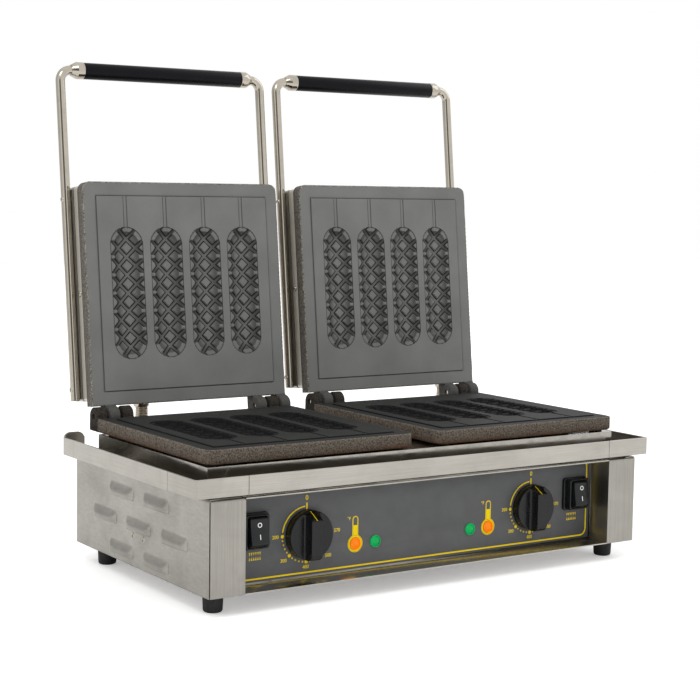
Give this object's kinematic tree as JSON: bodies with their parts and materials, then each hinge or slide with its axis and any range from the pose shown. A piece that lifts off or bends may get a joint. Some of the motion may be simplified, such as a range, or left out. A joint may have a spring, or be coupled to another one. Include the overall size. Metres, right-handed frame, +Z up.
{
  "type": "hot dog waffle maker",
  "caption": "Counter-top waffle iron for hot dog waffles on a stick: steel base with a drip rim, hinged cast-iron plates with finger moulds, rod handles, knobs and switches.",
  "frame": {"origin": "on the counter, under the middle of the box of the machine with both lids open", "axes": "+X to the machine's right seen from the front, +Y to the back, +Z up"},
  "size_m": [0.55, 0.3548, 0.5195],
  "materials": {
    "stainless": "brushed",
    "polished_steel": "polished",
    "cast_iron": "matte, seasoned",
    "label_print": "matte",
    "foot_rubber": "matte",
    "element_sheath": "oxidised",
    "thermostat_metal": "satin",
    "switch_black": "gloss",
    "bakelite_black": "satin",
    "orange_lens": "gloss",
    "green_lens": "gloss",
    "terminal_ceramic": "matte",
    "conduit_steel": "ribbed"
  },
  "bodies": {
    "base": {"rim_front": "stainless", "rim_corner_left": "stainless", "rim_corner_right": "stainless", "rim_side_left": "stainless", "rim_side_right": "stainless", "drip_tray": "stainless", "side_panel_left": "stainless", "side_panel_right": "stainless", "rear_panel": "stainless", "bottom_pan": "stainless", "front_post_left": "stainless", "front_post_right": "stainless", "panel_hood": "stainless", "plateau": "polished_steel", "control_panel": "polished_steel", "casing_screws": "polished_steel", "lower_reflectors": "polished_steel", "lower_plate_bolts": "polished_steel", "hinge_pins": "polished_steel", "base_conduit_glands": "polished_steel", "lower_plate_left": "cast_iron", "lower_plate_right": "cast_iron", "panel_label": "label_print", "feet": "foot_rubber", "lower_element_left": "element_sheath", "lower_element_right": "element_sheath", "thermostat_left": "thermostat_metal", "thermostat_right": "thermostat_metal", "switch_housing_left": "switch_black", "switch_housing_right": "switch_black", "cable_gland": "bakelite_black", "orange_lamps": "orange_lens", "green_lamps": "green_lens", "terminal_block": "terminal_ceramic", "conduit_left": "conduit_steel", "conduit_right": "conduit_steel"},
    "lid_left": {"lid_frame_left": "stainless", "lid_cover_left": "stainless", "handle_rod_left": "polished_steel", "handle_collars_left": "polished_steel", "lid_screws_left": "polished_steel", "lid_conduit_gland_left": "polished_steel", "upper_plate_left": "cast_iron", "upper_element_left": "element_sheath", "handle_grip_left": "bakelite_black"},
    "lid_right": {"lid_frame_right": "stainless", "lid_cover_right": "stainless", "handle_rod_right": "polished_steel", "handle_collars_right": "polished_steel", "lid_screws_right": "polished_steel", "lid_conduit_gland_right": "polished_steel", "upper_plate_right": "cast_iron", "upper_element_right": "element_sheath", "handle_grip_right": "bakelite_black"},
    "knob_left": {"knob_shaft_left": "polished_steel", "knob_left": "bakelite_black"},
    "knob_right": {"knob_shaft_right": "polished_steel", "knob_right": "bakelite_black"},
    "rocker_left": {"rocker_left": "switch_black"},
    "rocker_right": {"rocker_right": "switch_black"}
  },
  "joints": [
    {"name": "lid_left_hinge", "type": "hinge", "parent": "base", "child": "lid_left", "pos_m": [-0.132, 0.09338, 0.1522], "axis": [1, 0, 0], "range_deg": [0, 96.5], "deforming": ["conduit_left"]},
    {"name": "lid_right_hinge", "type": "hinge", "parent": "base", "child": "lid_right", "pos_m": [0.132, 0.09338, 0.1522], "axis": [1, 0, 0], "range_deg": [0, 96.5], "deforming": ["conduit_right"]},
    {"name": "knob_left_turn", "type": "hinge", "parent": "base", "child": "knob_left", "pos_m": [-0.1385, -0.14722, 0.062], "axis": [0, -1, 0], "range_deg": [0, 270]},
    {"name": "knob_right_turn", "type": "hinge", "parent": "base", "child": "knob_right", "pos_m": [0.1385, -0.14722, 0.062], "axis": [0, -1, 0], "range_deg": [0, 270]},
    {"name": "rocker_left_tilt", "type": "hinge", "parent": "base", "child": "rocker_left", "pos_m": [-0.198, -0.15322, 0.0715], "axis": [1, 0, 0], "range_deg": [0, 16]},
    {"name": "rocker_right_tilt", "type": "hinge", "parent": "base", "child": "rocker_right", "pos_m": [0.198, -0.15322, 0.0715], "axis": [1, 0, 0], "range_deg": [0, 16]}
  ]
}
